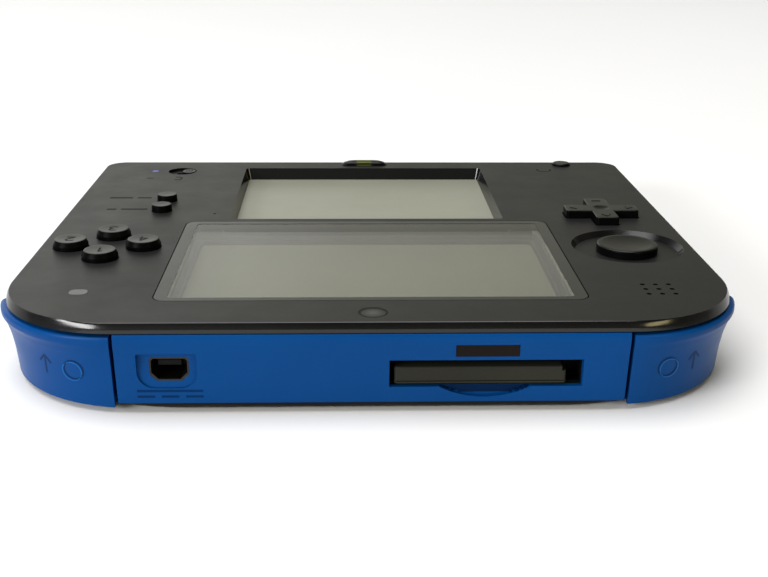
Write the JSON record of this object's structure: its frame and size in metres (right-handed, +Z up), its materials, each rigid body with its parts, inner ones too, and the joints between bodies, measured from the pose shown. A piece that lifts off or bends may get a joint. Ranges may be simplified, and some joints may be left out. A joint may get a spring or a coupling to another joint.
{
  "type": "handheld lcd game",
  "caption": "Slate-shaped handheld game console with two screens, direction pad, slide pad, face and shoulder buttons, card slot and stylus.",
  "frame": {"origin": "middle of the footprint, on the flat rear face", "axes": "+X to the user's right, +Y towards the shoulder-button edge, +Z up out of the screens"},
  "size_m": [0.1438, 0.1268, 0.0187],
  "materials": {
    "face_black": "fine satin moulded plastic",
    "shell_blue": "semi-gloss moulded plastic",
    "rear_black": "fine textured moulded plastic",
    "control_black": "semi-gloss moulded plastic",
    "bezel_black": "satin printed lens border",
    "clear_lens": "clear",
    "touch_film": "satin resistive film",
    "lcd_glass": "unlit display",
    "screen_grey": "matte",
    "steel": "stamped",
    "screw_steel": "black zinc",
    "connector_metal": "nickel plated",
    "connector_black": "moulded",
    "rubber_grey": "moulded silicone",
    "card_grey": "fine textured",
    "smoked_window": "smoked",
    "led_clear": "diffusing",
    "led_blue": "diffusing, lit",
    "lens_glass": "coated",
    "board_green": "solder mask",
    "chip_black": "epoxy",
    "battery_wrap": "shrink sleeve",
    "gold": "gold plated"
  },
  "bodies": {
    "case": {"front_case": "face_black", "side_band": "shell_blue", "rear_cover": "rear_black", "battery_cover": "rear_black", "case_screws": "screw_steel", "battery_cover_screws": "screw_steel", "upper_bezel": "bezel_black", "upper_window": "clear_lens", "touch_panel": "touch_film", "screen_spacer": "screen_grey", "lcd_panel": "lcd_glass", "lcd_frame": "steel", "button_membranes": "rubber_grey", "dpad_membrane": "rubber_grey", "circle_pad_housing": "connector_black", "switches": "connector_black", "shoulder_hinge_pins": "steel", "shoulder_springs": "steel", "card_slot": "connector_black", "charge_port_shell": "connector_metal", "charge_port_tongue": "connector_black", "infrared_window": "smoked_window", "sd_card": "chip_black", "sd_reader": "steel", "volume_pot": "connector_black", "stylus_holder": "connector_black", "headphone_jack": "connector_black", "notice_led_lens": "led_clear", "power_led_lens": "led_blue", "inner_camera_ring": "smoked_window", "inner_camera_lens": "lens_glass", "inner_camera_module": "connector_black", "outer_camera_windows": "smoked_window", "outer_camera_modules": "connector_black", "main_board": "board_green", "board_chips": "chip_black", "control_boards": "board_green", "speaker": "connector_black", "microphone": "steel", "battery": "battery_wrap", "battery_contacts": "gold"},
    "button_a": {"button_a": "control_black"},
    "button_b": {"button_b": "control_black"},
    "button_x": {"button_x": "control_black"},
    "button_y": {"button_y": "control_black"},
    "start_button": {"start_button": "control_black"},
    "select_button": {"select_button": "control_black"},
    "home_button": {"home_button": "control_black"},
    "power_button": {"power_button": "control_black"},
    "sleep_slider": {"sleep_slider": "control_black"},
    "volume_slider": {"volume_slider": "control_black"},
    "dpad_pivot": {"dpad_pivot": "steel"},
    "dpad": {"dpad": "control_black"},
    "circle_pad_carriage": {"circle_pad_carriage": "connector_black"},
    "circle_pad_cap": {"circle_pad_cap": "control_black"},
    "right_shoulder_button": {"right_shoulder_button": "shell_blue"},
    "left_shoulder_button": {"left_shoulder_button": "shell_blue"},
    "game_card": {"game_card": "card_grey"},
    "stylus": {"stylus": "control_black"},
    "sd_card_door": {"sd_card_door": "shell_blue"}
  },
  "joints": [
    {"name": "button_a_press", "type": "slide", "parent": "case", "child": "button_a", "axis": [0, 0.0349, -0.9994], "range_m": [0, 0.001], "stiffness_N_per_m": 900},
    {"name": "button_b_press", "type": "slide", "parent": "case", "child": "button_b", "axis": [0, 0.0349, -0.9994], "range_m": [0, 0.001], "stiffness_N_per_m": 900},
    {"name": "button_x_press", "type": "slide", "parent": "case", "child": "button_x", "axis": [0, 0.0349, -0.9994], "range_m": [0, 0.001], "stiffness_N_per_m": 900},
    {"name": "button_y_press", "type": "slide", "parent": "case", "child": "button_y", "axis": [0, 0.0349, -0.9994], "range_m": [0, 0.001], "stiffness_N_per_m": 900},
    {"name": "start_press", "type": "slide", "parent": "case", "child": "start_button", "axis": [0, 0.0349, -0.9994], "range_m": [0, 0.0007], "stiffness_N_per_m": 1200},
    {"name": "select_press", "type": "slide", "parent": "case", "child": "select_button", "axis": [0, 0.0349, -0.9994], "range_m": [0, 0.0007], "stiffness_N_per_m": 1200},
    {"name": "home_press", "type": "slide", "parent": "case", "child": "home_button", "axis": [0, 0.0349, -0.9994], "range_m": [0, 0.0006], "stiffness_N_per_m": 1500},
    {"name": "power_press", "type": "slide", "parent": "case", "child": "power_button", "axis": [0, 0.0349, -0.9994], "range_m": [0, 0.0006], "stiffness_N_per_m": 1500},
    {"name": "sleep_slide", "type": "slide", "parent": "case", "child": "sleep_slider", "axis": [1, 0, 0], "range_m": [0, 0.0022]},
    {"name": "volume_slide", "type": "slide", "parent": "case", "child": "volume_slider", "axis": [0, 0.9994, 0.0349], "range_m": [-0.004, 0.004]},
    {"name": "dpad_rock_x", "type": "hinge", "parent": "case", "child": "dpad_pivot", "pos_m": [-0.0556, -0.00763, 0.01321], "axis": [1, 0, 0], "range_deg": [-3, 3], "stiffness_Nm_per_rad": 0.25},
    {"name": "dpad_rock_y", "type": "hinge", "parent": "dpad_pivot", "child": "dpad", "pos_m": [-0.0556, -0.00763, 0.01321], "axis": [0, 0.9994, 0.0349], "range_deg": [-3, 3], "stiffness_Nm_per_rad": 0.25},
    {"name": "circle_pad_x", "type": "slide", "parent": "case", "child": "circle_pad_carriage", "axis": [1, 0, 0], "range_m": [-0.002, 0.002], "stiffness_N_per_m": 250},
    {"name": "circle_pad_y", "type": "slide", "parent": "circle_pad_carriage", "child": "circle_pad_cap", "axis": [0, 0.9994, 0.0349], "range_m": [-0.002, 0.002], "stiffness_N_per_m": 250},
    {"name": "right_shoulder_press", "type": "hinge", "parent": "case", "child": "right_shoulder_button", "pos_m": [0.0494, 0.05772, 0.00989], "axis": [0, 0.0349, -0.9994], "range_deg": [0, 3], "stiffness_Nm_per_rad": 0.8},
    {"name": "left_shoulder_press", "type": "hinge", "parent": "case", "child": "left_shoulder_button", "pos_m": [-0.0494, 0.05772, 0.00989], "axis": [0, -0.0349, 0.9994], "range_deg": [0, 3], "stiffness_Nm_per_rad": 0.8},
    {"name": "game_card_slide", "type": "slide", "parent": "case", "child": "game_card", "axis": [0, 0.9994, 0.0349], "range_m": [-0.0008, 0.034]},
    {"name": "stylus_slide", "type": "slide", "parent": "case", "child": "stylus", "axis": [0, -0.9994, -0.0349], "range_m": [0, 0.078]},
    {"name": "sd_door_swing", "type": "hinge", "parent": "case", "child": "sd_card_door", "pos_m": [-0.0706, -0.02623, 0.0043], "axis": [0, -0.9994, -0.0349], "range_deg": [0, 90]}
  ]
}
